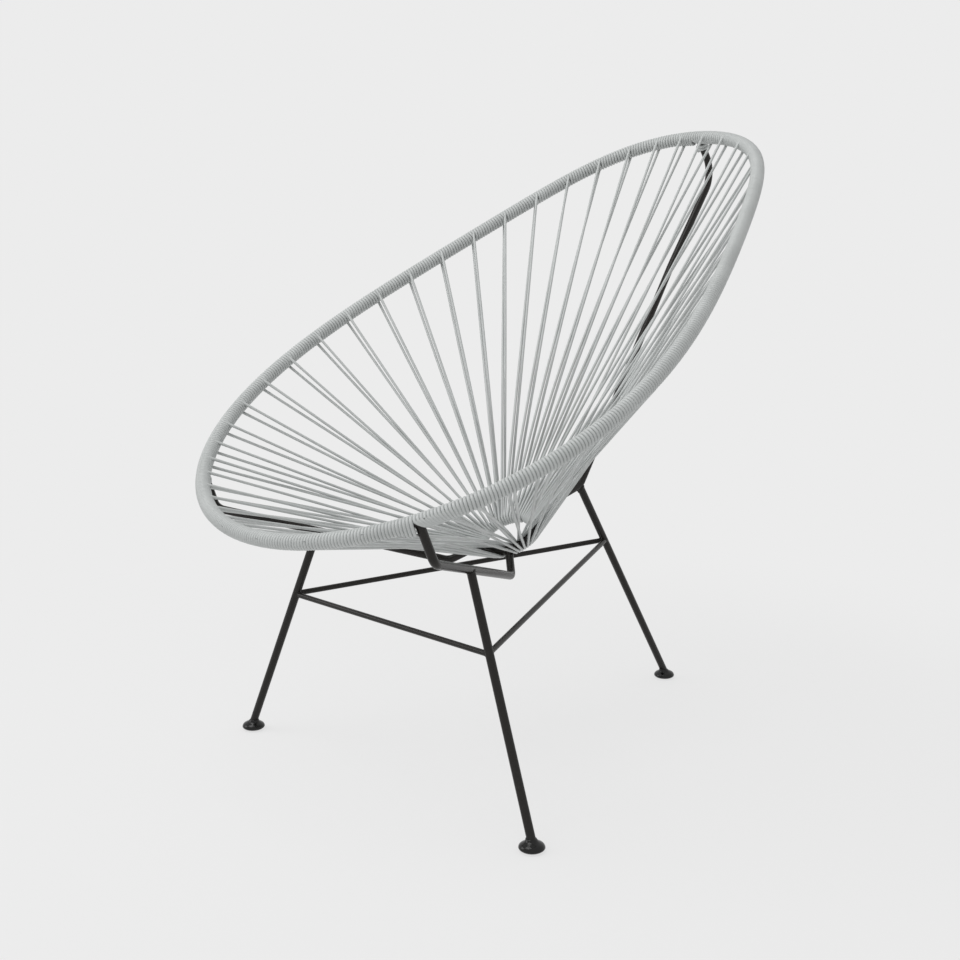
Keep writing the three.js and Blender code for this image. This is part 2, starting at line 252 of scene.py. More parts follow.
@dataclass(frozen=True)
class FineReliefFinish:
    """A finish in one colour with a fine bumpy skin and painted shade in its hollows, whose colour is a
    shade darker than on its crests.

    The bumps are crest millimetres wide from crest to crest, and strength of their depth shows.
    """

    name: str
    slot: str
    dark: str
    light: str
    roughness: float
    ior: float
    specular: float
    crest: float
    detail: float
    depth: float
    strength: float

    def material(self) -> bpy.types.Material:
        """Builds the finish's material.

        Returns:
            The material.
        """
        material = bpy.data.materials.new(self.name)
        tree = empty_tree(material)
        relief_and_painted_shade = grain(tree, self.crest, self.detail).outputs["Fac"]
        bump = add_node(tree, "ShaderNodeBump",
                        {"Height": relief_and_painted_shade, "Strength": self.strength, "Distance": self.depth * MM})
        # Painted shade: the pattern that raises the bumps also darkens the colour in their hollows, a shade
        # below their crests.
        shader = add_node(tree, "ShaderNodeBsdfPrincipled",
                          {"Base Color": tint(tree, relief_and_painted_shade, self.dark, self.light),
                           "Roughness": self.roughness, "IOR": self.ior,
                           "Specular IOR Level": self.specular, "Normal": bump.outputs["Normal"]})
        add_node(tree, "ShaderNodeOutputMaterial", {"Surface": shader.outputs["BSDF"]})
        return material


@dataclass(frozen=True)
class PowderCoat(FineReliefFinish):
    """Powder-coated steel: satin black polyester baked on, with a slight orange peel."""

    name: str = "Powder-coated steel, satin black"
    slot: str = "black_steel"
    dark: str = "#211F1D"
    light: str = "#272523"
    roughness: float = 0.27
    ior: float = 1.5
    specular: float = 0.22
    crest: float = 2.2
    detail: float = 2.0
    depth: float = 0.2
    strength: float = 0.08


@dataclass(frozen=True)
class MouldedPlastic(FineReliefFinish):
    """Injection-moulded polyethylene: black and glossy, with the faint grain of its mould."""

    name: str = "Moulded polyethylene, black"
    slot: str = "black_glide"
    dark: str = "#0F0F0E"
    light: str = "#141413"
    roughness: float = 0.14
    ior: float = 1.51
    specular: float = 0.3
    crest: float = 0.9
    detail: float = 1.0
    depth: float = 0.1
    strength: float = 0.04


# Making pieces


@dataclass
class Finisher:
    """Gives each finished mesh its material, its slot and its body, and keeps count of the pieces."""

    materials: dict[str, bpy.types.Material] = field(default_factory=dict)
    pieces: list[bpy.types.Object] = field(default_factory=list)

    def finish(self, piece: bpy.types.Object, look: PvcCord | FineReliefFinish, *nodes: str) -> None:
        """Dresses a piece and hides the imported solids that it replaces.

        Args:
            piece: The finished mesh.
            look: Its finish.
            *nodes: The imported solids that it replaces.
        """
        if look.slot not in self.materials:
            self.materials[look.slot] = look.material()
        piece.data.materials.clear()
        piece.data.materials.append(self.materials[look.slot])
        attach(piece, "root")
        if nodes:
            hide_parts(*nodes)
        self.pieces.append(piece)
        LOG.info("%s: %d faces", piece.name, len(piece.data.polygons))


def leave_edit(piece: bpy.types.Object, name: str, sharp: float = BAR_SHARP_FROM) -> bpy.types.Object:
    """Closes a mesh that is open at its ends, cleans it and leaves it at the origin.

    Args:
        piece: The object in edit mode.
        name: Its name.
        sharp: The angle from which an edge stays sharp.

    Returns:
        The piece.
    """
    bpy.ops.mesh.select_all(action="SELECT")
    bpy.ops.mesh.remove_doubles(threshold=MERGE_WITHIN * MM)
    bpy.ops.mesh.select_all(action="DESELECT")
    bpy.ops.mesh.select_non_manifold(extend=False)
    bpy.ops.mesh.fill_holes(sides=0)
    bpy.ops.mesh.select_all(action="SELECT")
    bpy.ops.mesh.normals_make_consistent(inside=False)
    bpy.ops.object.mode_set(mode="OBJECT")
    bpy.ops.object.transform_apply(location=True, rotation=True, scale=True)
    bpy.ops.object.shade_smooth_by_angle(angle=sharp)
    piece.name = name
    piece.data.name = name
    return piece


def start_ring(centre: np.ndarray, direction: np.ndarray, radius: float, sides: int) -> bpy.types.Object:
    """Adds an open circle across a direction and leaves it selected in edit mode.

    Args:
        centre: Its centre in millimetres.
        direction: The direction that it lies across.
        radius: Its radius in millimetres.
        sides: Its number of sides.

    Returns:
        The new object.
    """
    bpy.ops.object.select_all(action="DESELECT")
    turn = Vector(direction).to_track_quat("Z", "Y").to_euler()
    bpy.ops.mesh.primitive_circle_add(vertices=sides, radius=radius * MM, location=Vector(centre * MM),
                                      rotation=turn)
    piece = bpy.context.object
    bpy.ops.object.mode_set(mode="EDIT")
    bpy.ops.mesh.select_all(action="SELECT")
    return piece


def extrude(step: np.ndarray) -> None:
    """Extrudes the selected ring by a step in millimetres."""
    bpy.ops.mesh.extrude_region_move(TRANSFORM_OT_translate={"value": Vector(step * MM)})


def tube(name: str, points: np.ndarray, radius: float, sides_level: int = 2, closed: bool = False,
         radii: np.ndarray | None = None) -> bpy.types.Object:
    """Makes a round tube along a row of points.

    Args:
        name: The piece's name.
        points: The points in millimetres, one a row.
        radius: The tube's radius in millimetres.
        sides_level: The curve's bevel resolution.
        closed: Whether the row runs back to its start.
        radii: The radius at each point as a share of the tube's, where it changes.

    Returns:
        The tube as a mesh at the origin.
    """
    curve = bpy.data.curves.new(name, "CURVE")
    curve.dimensions = "3D"
    curve.bevel_depth = radius * MM
    curve.bevel_resolution = sides_level
    curve.use_fill_caps = not closed
    spline = curve.splines.new("POLY")
    spline.points.add(len(points) - 1)
    spline.points.foreach_set("co", np.column_stack([points * MM, np.ones(len(points))]).ravel())
    if radii is not None:
        spline.points.foreach_set("radius", radii)
    spline.use_cyclic_u = closed
    piece = bpy.data.objects.new(name, curve)
    bpy.context.collection.objects.link(piece)
    bpy.ops.object.select_all(action="DESELECT")
    piece.select_set(True)
    bpy.context.view_layer.objects.active = piece
    bpy.ops.object.convert(target="MESH")
    bpy.ops.object.mode_set(mode="EDIT")
    return leave_edit(piece, name, TUBE_SHARP_FROM)


# Lines of the chair


@dataclass(frozen=True)
class Section:
    """Places along a bar: centres, with directions along it, outwards across it and up across it."""

    centre: np.ndarray
    along: np.ndarray
    across: np.ndarray
    up: np.ndarray

    def around(self, angle: np.ndarray, radius: float | np.ndarray) -> np.ndarray:
        """Places points round the bar, at angles from outwards towards up and at one radius or more."""
        return (self.centre + (radius * np.cos(angle))[:, None] * self.across
                + (radius * np.sin(angle))[:, None] * self.up)


@dataclass(frozen=True)
class HoopLine:
    """Centre line of the hoop. Angle 0 is its top, at the back, and half a turn is its front tip.

    Its width is a sine of the angle, bent into a pear by shares of sines of two and more times the angle.
    """

    length: float = 1060.0
    half_width: float = 341.0
    bow: float = 10.0
    front_height: float = 394.0
    tilt: float = math.radians(30)
    width_shares: tuple[float, ...] = (1.0, -0.114, 0.022, 0.029, 0.007)
    samples: int = 4000

    def points(self, angle: float | np.ndarray) -> np.ndarray:
        """Places points of the line.

        Args:
            angle: Angles round the hoop.

        Returns:
            Points in millimetres, one a row.
        """
        angle = np.atleast_1d(angle)
        along = (1 + np.cos(angle)) / 2
        width = sum(share * np.sin((term + 1) * angle) for term, share in enumerate(self.width_shares))
        sag = -4 * self.bow * along * (1 - along)
        sine, cosine = math.sin(self.tilt), math.cos(self.tilt)
        return np.column_stack([
            self.half_width * width,
            self.length * along * cosine - sag * sine - CHAIR_MIDDLE,
            self.front_height + self.length * along * sine + sag * cosine,
        ])

    @cached_property
    def _table(self) -> tuple[np.ndarray, np.ndarray]:
        """Arc lengths along the line and the points there."""
        points = self.points(np.linspace(0, 2 * np.pi, self.samples + 1))
        steps = np.linalg.norm(np.diff(points, axis=0), axis=1)
        return np.concatenate([[0.0], np.cumsum(steps)]), points

    @property
    def perimeter(self) -> float:
        """Whole length of the line in millimetres."""
        return float(self._table[0][-1])

    def length_to(self, angle: float) -> float:
        """Returns the arc length from the top to an angle."""
        sample = angle / (2 * np.pi) * self.samples
        return float(np.interp(sample, np.arange(self.samples + 1), self._table[0]))

    def section(self, arc: float | np.ndarray) -> Section:
        """Finds the bar's section at places along the line.

        Args:
            arc: Arc lengths from the top in millimetres.

        Returns:
            The sections, with one row a place.
        """
        lengths, points = self._table
        places = np.mod(np.atleast_1d(arc), self.perimeter)
        step = 2 * self.perimeter / self.samples

        def point_at(where: np.ndarray) -> np.ndarray:
            """Returns the line's points at arc lengths."""
            wrapped = np.mod(where, self.perimeter)
            return np.column_stack([np.interp(wrapped, lengths, points[:, axis]) for axis in range(3)])

        along = unit(point_at(places + step) - point_at(places - step))
        plane_up = np.array([0.0, -math.sin(self.tilt), math.cos(self.tilt)])
        across = unit(np.cross(plane_up, along))
        return Section(point_at(places), along, across, np.cross(along, across))


@dataclass(frozen=True)
class RingLine:
    """Centre line of the small ring. Angle 0 is its back."""

    radius: float = 42.5
    y: float = 468.5
    z: float = 322.2
    tilt: float = math.radians(29)

    @property
    def centre(self) -> np.ndarray:
        """Centre of the ring."""
        return at(0, self.y, self.z)

    @property
    def back(self) -> np.ndarray:
        """Direction to the ring's back, in its plane."""
        return np.array([0.0, math.cos(self.tilt), math.sin(self.tilt)])

    @property
    def up(self) -> np.ndarray:
        """Direction across the ring's plane."""
        return np.array([0.0, -math.sin(self.tilt), math.cos(self.tilt)])

    def section(self, angle: float | np.ndarray) -> Section:
        """Finds the bar's section at angles round the ring.

        Args:
            angle: Angles from the back, towards the sitter's left.

        Returns:
            The sections, with one row an angle.
        """
        angle = np.atleast_1d(angle)
        outwards = np.cos(angle)[:, None] * self.back + np.sin(angle)[:, None] * np.array([1.0, 0.0, 0.0])
        up = np.broadcast_to(self.up, outwards.shape)
        return Section(self.centre + self.radius * outwards, np.cross(outwards, up), outwards, up)


HOOP = HoopLine()
RING = RingLine()


# Bars and welds


class Side(Enum):
    """The two sides of the chair, as the sitter has them."""

    LEFT = 1
    RIGHT = -1

    @property
    def label(self) -> str:
        """The side's name in lower case."""
        return self.name.lower()


@dataclass(frozen=True)
class RoundBar:
    """A round bar of straight runs joined by round bends."""

    corners: tuple[np.ndarray, ...]
    bends: tuple[float, ...] = ()
    diameter: float = FRAME_BAR
    sides: int = 28
    bend_steps: int = 10

    def build(self, name: str) -> bpy.types.Object:
        """Models the bar: a ring that is extruded along each run and spun round each bend.

        Args:
            name: The piece's name.

        Returns:
            The bar.
        """
        place = self.corners[0]
        heading = unit(self.corners[1] - place)
        piece = start_ring(place, heading, self.diameter / 2, self.sides)
        for corner, after, bend in zip(self.corners[1:], self.corners[2:], self.bends):
            out = unit(after - corner)
            turn = math.acos(float(np.clip(heading @ out, -1, 1)))
            start = corner - heading * bend * math.tan(turn / 2)
            extrude(start - place)
            axis = unit(np.cross(heading, out))
            centre = start + np.cross(axis, heading) * bend
            bpy.ops.mesh.spin(steps=self.bend_steps, angle=-turn, center=Vector(centre * MM),
                              axis=Vector(axis))
            place = corner + out * bend * math.tan(turn / 2)
            heading = out
        extrude(self.corners[-1] - place)
        return leave_edit(piece, name)


@dataclass(frozen=True)
class Weld:
    """A weld bead where a bar meets another: it follows the saddle between them, with slight ripples.

    The foot is a point of the bar's axis, short of the other bar. Round the bead the ripples grow and
    fade a few times.
    """

    foot: np.ndarray
    direction: np.ndarray
    other_point: np.ndarray
    other_direction: np.ndarray
    diameter: float = FRAME_BAR
    other_diameter: float = FRAME_BAR
    bead: float = 1.5
    skin_share: float = 0.47
    steps: int = 48
    ripples: int = 11
    ripple_share: float = 0.14
    swells: int = 3
    swell_start: float = 0.7

    @property
    def turn(self) -> np.ndarray:
        """Angles round the bar of the bead's points."""
        return np.linspace(0, 2 * np.pi, self.steps, endpoint=False)

    def path(self) -> np.ndarray:
        """Finds the line where the bar's skin meets the other bar's.

        Returns:
            Points in millimetres, one a row.
        """
        direction, other = unit(self.direction), unit(self.other_direction)
        side = unit(np.cross(direction, other))
        over = np.cross(side, direction)
        radius = self.skin_share * self.diameter
        start = self.foot + radius * (np.cos(self.turn)[:, None] * side + np.sin(self.turn)[:, None] * over)
        # Seen along the other bar, each line meets a circle: its way there solves a quadratic equation.
        reach = direction - other * (direction @ other)
        offset = start - self.other_point
        offset = offset - (offset @ other)[:, None] * other
        a = reach @ reach
        b = 2 * offset @ reach
        c = np.sum(offset * offset, axis=1) - (self.other_diameter / 2) ** 2
        root = np.sqrt(np.maximum(b * b - 4 * a * c, 0))
        return start + ((-b - root) / (2 * a))[:, None] * direction

    def build(self, name: str) -> bpy.types.Object:
        """Models the bead along that line.

        Args:
            name: The piece's name.

        Returns:
            The bead.
        """
        swell = np.cos(self.swells * self.turn + self.swell_start)
        radii = 1 + self.ripple_share * np.sin(self.ripples * self.turn) * swell
        return tube(name, self.path(), self.bead, closed=True, radii=radii)


# Frame


@dataclass(frozen=True)
class Foot:
    """The line of a leg: from its weld, on a run of an arm, down through the middle of its glide."""

    x: float
    y: float
    top: np.ndarray
    arm_run: tuple[np.ndarray, np.ndarray]
    pivot_height: float = 12.0

    @property
    def pivot(self) -> np.ndarray:
        """Where the leg's axis passes through the middle of the glide."""
        return at(self.x, self.y, self.pivot_height)

    @property
    def direction(self) -> np.ndarray:
        """Direction up the leg."""
        return unit(self.top - self.pivot)

    def point(self, height: float) -> np.ndarray:
        """Returns the point of the axis at a height."""
        return self.pivot + self.direction * (height - self.pivot_height) / self.direction[2]


@dataclass
class SteelFrame:
    """Everything of steel: the hoop, the ring, three arms, three legs, three stretchers and the welds.

    A front arm's elbows are points for at(), and the back arm's are the last two numbers of one.
    """

    finisher: Finisher
    look: PowderCoat = PowderCoat()
    hoop_steps: int = 240
    hoop_sides_level: int = 3
    ring_steps: int = 72
    ring_sides: int = 20
    front_arm_hoop_angle: float = math.radians(146)
    front_arm_elbow: tuple[float, float, float] = (231.5, 101.8, 381.2)
    front_arm_low_elbow: tuple[float, float, float] = (66.0, 406.9, 279.9)
    front_arm_ring_angle: float = math.radians(41)
    front_arm_bends: tuple[float, float] = (20.0, 20.0)
    back_arm_elbow: tuple[float, float] = (961.4, 867.5)
    back_arm_waist: tuple[float, float] = (851.7, 714.9)
    back_arm_low_elbow: tuple[float, float] = (630.8, 375.1)
    back_arm_bends: tuple[float, float, float] = (47.0, 230.0, 20.0)
    front_foot: tuple[float, float] = (301.4, 202.7)
    back_foot: float = 862.0
    back_leg_top: tuple[float, float] = (630.4, 374.0)
    front_leg_share: float = 0.42
    front_stretcher_height: float = 234.6
    side_stretcher_front_height: float = 236.3
    side_stretcher_back_height: float = 275.2
    side_stretcher_parting: float = 1.6
    leg_start_height: float = 9.0
    stretcher_sides: int = 24
    stretcher_bead: float = 1.2

    def front_arm(self, side: Side) -> tuple[np.ndarray, ...]:
        """Lists the corners of a front arm.

        Args:
            side: The arm's side.

        Returns:
            The corners from the hoop to the ring.
        """
        mirror = np.array([side.value, 1.0, 1.0])
        end = RING.section(math.pi - self.front_arm_ring_angle).centre[0]
        return (HOOP.points(self.front_arm_hoop_angle)[0] * mirror,
                at(*self.front_arm_elbow) * mirror, at(*self.front_arm_low_elbow) * mirror, end * mirror)

    @property
    def back_arm(self) -> tuple[np.ndarray, ...]:
        """The corners of the back arm, from the hoop to the ring."""
        return (HOOP.points(0.0)[0], at(0, *self.back_arm_elbow), at(0, *self.back_arm_waist),
                at(0, *self.back_arm_low_elbow), RING.section(0.0).centre[0])

    def feet(self) -> dict[str, Foot]:
        """Works out the three legs' lines.

        Returns:
            The lines by the legs' names.
        """
        lines = {}
        for side in Side:
            _, elbow, low, _ = self.front_arm(side)
            top = elbow + (low - elbow) * self.front_leg_share
            lines[f"front_{side.label}"] = Foot(side.value * self.front_foot[0], self.front_foot[1], top,
                                                (elbow, low))
        lines["back"] = Foot(0.0, self.back_foot, at(0, *self.back_leg_top), self.back_arm[2:4])
        return lines

    def build(self) -> None:
        """Models and dresses all the steel."""
        self._hoop_and_ring()
        self._arms()
        self._legs()
        self._stretchers()

    def _hoop_and_ring(self) -> None:
        """Models the hoop's bar and the ring."""
        line = HOOP.section(np.linspace(0, HOOP.perimeter, self.hoop_steps, endpoint=False)).centre
        hoop = tube("hoop_bar", line, FRAME_BAR / 2, self.hoop_sides_level, True)
        self.finisher.finish(hoop, self.look, "rim_hoop")
        bpy.ops.object.select_all(action="DESELECT")
        bpy.ops.mesh.primitive_torus_add(location=Vector(RING.centre * MM), rotation=(RING.tilt, 0, 0),
                                         major_segments=self.ring_steps, minor_segments=self.ring_sides,
                                         major_radius=RING.radius * MM, minor_radius=FRAME_BAR / 2 * MM)
        ring = bpy.context.object
        bpy.ops.object.mode_set(mode="EDIT")
        self.finisher.finish(leave_edit(ring, "ring_bar"), self.look, "inner_ring")

    def _arms(self) -> None:
        """Models the arms and their welds to the ring."""
        arms = {f"arm_{side.label}": (self.front_arm(side), self.front_arm_bends,
                                      side.value * (math.pi - self.front_arm_ring_angle)) for side in Side}
        arms["arm_back"] = (self.back_arm, self.back_arm_bends, 0.0)
        for name, (corners, bends, ring_angle) in arms.items():
            self.finisher.finish(RoundBar(corners, bends).build(f"{name}_bar"), self.look, name)
            ring = RING.section(ring_angle)
            *_, start, end = corners
            weld = Weld(start, end - start, ring.centre[0], ring.along[0])
            self.finisher.finish(weld.build(f"weld_{name}"), self.look)

    def _legs(self) -> None:
        """Models the legs and their welds to the arms."""
        for name, foot in self.feet().items():
            bar = RoundBar((foot.point(self.leg_start_height), foot.top))
            self.finisher.finish(bar.build(f"leg_{name}_bar"), self.look, f"leg_{name}")
            start, end = foot.arm_run
            weld = Weld(foot.pivot, foot.direction, start, end - start)
            self.finisher.finish(weld.build(f"weld_leg_{name}"), self.look)

    def _stretchers(self) -> None:
        """Models the stretchers and their welds to the legs."""
        feet = self.feet()
        left, right, back = feet["front_left"], feet["front_right"], feet["back"]
        height = self.front_stretcher_height
        runs = {"front": (right, right.point(height), left, left.point(height))}
        for side, foot in ((Side.LEFT, left), (Side.RIGHT, right)):
            end = back.point(self.side_stretcher_back_height)
            end = end + np.array([side.value * self.side_stretcher_parting, 0, 0])
            runs[side.label] = (foot, foot.point(self.side_stretcher_front_height), back, end)
        for name, (first, start, second, end) in runs.items():
            bar = RoundBar((start, end), diameter=STRETCHER_BAR, sides=self.stretcher_sides)
            self.finisher.finish(bar.build(f"stretcher_{name}_bar"), self.look, f"stretcher_{name}")
            for number, (foot, near, far) in enumerate(((first, start, end), (second, end, start)), 1):
                weld = Weld(far, near - far, foot.pivot, foot.direction, STRETCHER_BAR,
                            bead=self.stretcher_bead)
                self.finisher.finish(weld.build(f"weld_stretcher_{name}_{number}"), self.look)


@dataclass
class Glides:
    """Moulded discs under the legs, each flared up into a collar that leans with its leg.

    The profile gives the radius and the height of each ring of a glide, from the floor up.
    """

    finisher: Finisher
    feet: dict[str, Foot]
    look: MouldedPlastic = MouldedPlastic()
    sides: int = 48
    profile: tuple[tuple[float, float], ...] = (
        (8.75, 0.0), (11.8, 0.5), (14.6, 1.6), (16.6, 3.1), (17.4, 4.4), (17.5, 5.2),
        (17.2, 6.4), (16.6, 7.7), (15.6, 8.9), (14.2, 10.0), (12.7, 10.9), (11.2, 11.7),
        (9.9, 12.5), (8.9, 13.4), (8.1, 14.4), (7.6, 15.4), (7.2, 16.2), (6.6, 16.7),
    )
    lean_from: float = 8.0
    lean_to: float = 13.5

    def build(self) -> None:
        """Models and dresses the glides."""
        for name, foot in self.feet.items():
            self.finisher.finish(self._glide(f"glide_{name}_disc", foot), self.look, f"glide_{name}")

    def _centre(self, foot: Foot, height: float) -> np.ndarray:
        """Returns the middle of the glide's ring at a height."""
        share = min(max((height - self.lean_from) / (self.lean_to - self.lean_from), 0), 1)
        upright = at(foot.x, foot.y, height)
        return upright + (foot.point(height) - upright) * share

    def _glide(self, name: str, foot: Foot) -> bpy.types.Object:
        """Models one glide: a ring that is extruded up its profile, each time moved and resized.

        Args:
            name: The piece's name.
            foot: The line of its leg.

        Returns:
            The glide.
        """
        radius, height = self.profile[0]
        centre = self._centre(foot, height)
        piece = start_ring(centre, np.array([0.0, 0.0, 1.0]), radius, self.sides)
        for next_radius, next_height in self.profile[1:]:
            next_centre = self._centre(foot, next_height)
            extrude(next_centre - centre)
            bpy.ops.transform.resize(value=(next_radius / radius,) * 3,
                                     center_override=Vector(next_centre * MM))
            radius, centre = next_radius, next_centre
        return leave_edit(piece, name, GLIDE_SHARP_FROM)


# Cord


@dataclass(frozen=True)
class Pile:
    """How turns of cord give way to an arm.

    Attributes:
        lift: How far the nearest turn beside it rides up.
        reach: How far along the hoop others do.
        spread: How far the slant past it goes on round the hoop's other side, as a share.
    """

    lift: float
    reach: float
    spread: float


@dataclass(frozen=True)
class Obstacle:
    """An arm that leaves the hoop between the turns of cord, at an arc length and an angle round the bar.

    The turns lie close up to it on its close side, which is 1 further along the hoop, or -1.
    """

    arc: float
    angle: float
    close_side: int
    pile: Pile


@dataclass
class SeatCord:
    """One long PVC cord, wound round the hoop and strung in loops to the ring, held as 26 lengths.

    At each loop the cord leaves the underside of the hoop, passes over the ring, goes down inside it,
    comes back under it, and meets the hoop again over its top, half a turn further on. Its end is tied
    off round the back arm.
    """

    finisher: Finisher
    frame: SteelFrame
    look: PvcCord = PvcCord()
    loops: int = 52
    loops_a_length: int = 2
    pitch: float = 4.63
    # The cord's diameter where it is wound, and where it is stretched to the ring.
    wound: float = 4.76
    strand: float = 4.1
    turn_steps: int = 16
    strand_steps: int = 14
    hook_steps: int = 10
    first_loop: float = 14.8
    # What is added to the spacing at the top, as a share of it, and the shares of the way to the front
    # where the sides' spacing is full, where it ends and where the front's is full.
    left_spacing: float = 0.436
    right_spacing: float = 0.481
    front_spacing: float = -0.099
    side_full: float = 0.216
    side_end: float = 0.52
    front_full: float = 0.776
    # Loops stand nearly evenly round the ring, a little towards where they pull straight.
    ring_spread: float = 0.08
    ring_turn: float = math.radians(-4)
    room: float = 0.2
    # How far along the hoop turns slant past an arm, how far they close in on a loop, and from where.
    squeeze: float = 66.0
    closing: float = 2.3
    closing_reach: float = 28.0
    front_arm_pile: Pile = Pile(lift=8.5, reach=16.0, spread=0.36)
    back_arm_pile: Pile = Pile(lift=3.0, reach=35.0, spread=0.0)
    end_turns: float = 1.9

    @property
    def wrap(self) -> float:
        """Distance from the hoop's centre line to that of the cord wound on it."""
        return (FRAME_BAR + CORD) / 2

    @property
    def hook(self) -> float:
        """Distance from the ring's centre line to that of the stretched cord over it."""
        return (FRAME_BAR + self.strand) / 2

    def cross_angle(self, reach: np.ndarray) -> float:
        """Returns how far a strand leans to pass from the top of one bar to the underside of the other."""
        return math.asin((self.wrap + self.hook) / float(np.linalg.norm(reach)))

    @cached_property
    def stations(self) -> np.ndarray:
        """Arc lengths of the loops along the hoop, and of the first one again."""
        bay = (np.arange(self.loops) + 1) / self.loops
        side = 2 * np.minimum(bay, 1 - bay)
        spacing = np.where(bay < 0.5, self.left_spacing, self.right_spacing)

        def rise(low: float, high: float) -> np.ndarray:
            """Returns a smooth step between two places."""
            return smooth(np.clip((side - low) / (high - low), 0, 1))

        weight = 1 + spacing * rise(0.0, self.side_full)
        weight += (self.front_spacing - spacing) * rise(self.side_end, self.front_full)
        return self.first_loop + np.concatenate([[0.0], np.cumsum(weight)]) / weight.sum() * HOOP.perimeter

    @cached_property
    def ring_angles(self) -> np.ndarray:
        """Angle of each loop round the ring."""
        centre = HOOP.section(self.stations[:-1]).centre
        even = np.arange(self.loops) / self.loops * 2 * np.pi + self.ring_turn
        straight = np.arctan2(centre[:, 0], (centre - RING.centre) @ RING.back)
        return even + self.ring_spread * nearest(straight - even, 2 * np.pi)

    def clear_of_arms(self, angle: float) -> float:
        """Finds where a lower strand passes under the ring, evenly spread between the arms' ends there.

        Args:
            angle: Angle of the loop round the ring.

        Returns:
            The angle where the strand passes under the ring.
        """
        room = (self.hook + self.room) / RING.radius
        whole = math.floor(angle / (2 * math.pi)) * 2 * math.pi
        aside = self.frame.front_arm_ring_angle
        arms = (0.0, math.pi - aside, math.pi + aside, 2 * math.pi)
        after = next(number for number, arm in enumerate(arms) if arm > angle - whole)
        start, end = arms[after - 1], arms[after]
        share = (angle - whole - start) / (end - start)
        return whole + start + room + share * (end - start - 2 * room)

    @cached_property
    def obstacles(self) -> list[Obstacle]:
        """The places where the arms leave the hoop."""
        found = []
        arms = [(side.value * self.frame.front_arm_hoop_angle, self.frame.front_arm(side), side.value,
                 self.front_arm_pile) for side in Side]
        arms.append((0.0, self.frame.back_arm, -1, self.back_arm_pile))
        for hoop_angle, (root, elbow, *_), close_side, pile in arms:
            arc = HOOP.length_to(hoop_angle % (2 * math.pi))
            section = HOOP.section(arc)
            out = elbow - root
            angle = math.atan2(out @ section.up[0], out @ section.across[0])
            found.append(Obstacle(arc, angle, close_side, pile))
        return found

    def strand_angles(self, loop: int) -> tuple[float, float]:
        """Finds where a loop's strands touch the hoop.

        Args:
            loop: The loop's number.

        Returns:
            Angles round the hoop's section of the upper and of the lower strand.
        """
        hoop = HOOP.section(self.stations[loop % self.loops])
        ring = RING.section(self.ring_angles[loop % self.loops])
        reach = ring.centre[0] - hoop.centre[0]
        cross = self.cross_angle(reach)
        middle = math.atan2(-reach @ hoop.across[0], reach @ hoop.up[0])
        return middle + cross, middle + math.pi - cross

    def bay(self, loop: int) -> np.ndarray:
        """Winds the turns from one loop to the next.

        Args:
            loop: The number of the loop that the turns start from.

        Returns:
            Points in millimetres, one a row.
        """
        loop %= self.loops
        beside = self.pitch / 4
        start, end = self.stations[loop] + beside, self.stations[loop + 1] - beside
        first, _ = self.strand_angles(loop)
        _, last = self.strand_angles(loop + 1)
        # From the top of the hoop to its underside is half a turn short of whole turns.
        turns = round((end - start) / self.pitch + 0.5)
        last -= 2 * math.pi * turns
        steps = round((first - last) / (2 * math.pi) * self.turn_steps)
        share = np.linspace(0, 1, steps + 1)
        arc = start + (end - start) * share
        turn = first + (last - first) * share
        radius = np.full(len(arc), self.wrap)
        advance = (end - start) / (last - first)
        shifted = arc.copy()

        def passing(angle: float) -> np.ndarray:
            """Returns where along the hoop the turn of each point passes an angle."""
            number = np.round((turn - angle) / (2 * math.pi))
            return arc + advance * (angle + 2 * math.pi * number - turn)

        def facing(angle: float, spread: float = 0.0) -> np.ndarray:
            """Returns how squarely each point faces an angle, from 0 to 1."""
            return np.clip(spread + (1 - spread) * np.cos(turn - angle), 0, 1)

        for place in loop, loop + 1:
            # Beside a loop the turns close in on the face towards the ring, which the loop leaves bare.
            bare = sum(self.strand_angles(place)) / 2
            away = passing(bare) - self.stations[place]
            close = np.clip(1 - (np.abs(away) - self.pitch) / self.closing_reach, 0, 1)
            shifted -= np.sign(away) * self.closing * close * facing(bare)
        clear = self.wrap + self.room
        for arm in self.obstacles:
            # Turns lie close up to one side of the arm. Those past it slant over, and even out further on.
            away = nearest(passing(arm.angle) - arm.arc, HOOP.perimeter)
            beyond = away * arm.close_side - clear
            slant = np.where(beyond < 0, np.clip(1 + beyond / self.squeeze, 0, 1), 0)
            shifted -= arm.close_side * 2 * clear * slant * facing(arm.angle, arm.pile.spread)
            pile = np.where(beyond < 0, 0, np.clip(1 - beyond / arm.pile.reach, 0, 1))
            radius += arm.pile.lift * np.sqrt(pile) * facing(arm.angle) ** 2
        return HOOP.section(shifted).around(turn, radius)

    def loop_points(self, loop: int, leaves: np.ndarray, returns: np.ndarray) -> np.ndarray:
        """Strings one loop.

        Args:
            loop: The loop's number.
            leaves: The point where the cord leaves the hoop.
            returns: The point where it meets the hoop again.

        Returns:
            The points between those two, in millimetres, one a row.
        """
        angle = self.ring_angles[loop]
        under = self.clear_of_arms(angle)
        hoop = HOOP.section(self.stations[loop])
        ring = RING.section(angle)
        reach = ring.centre[0] - hoop.centre[0]
        cross = self.cross_angle(reach)
        middle = math.atan2(reach @ ring.across[0], -reach @ ring.up[0])
        share = np.linspace(0, 1, self.hook_steps + 1)
        turn = middle - math.pi - cross + (math.pi + 2 * cross) * share
        hook = RING.section(angle + (under - angle) * smooth(share))
        points = hook.around(turn, self.hook) + (share - 0.5)[:, None] * self.strand * hook.along
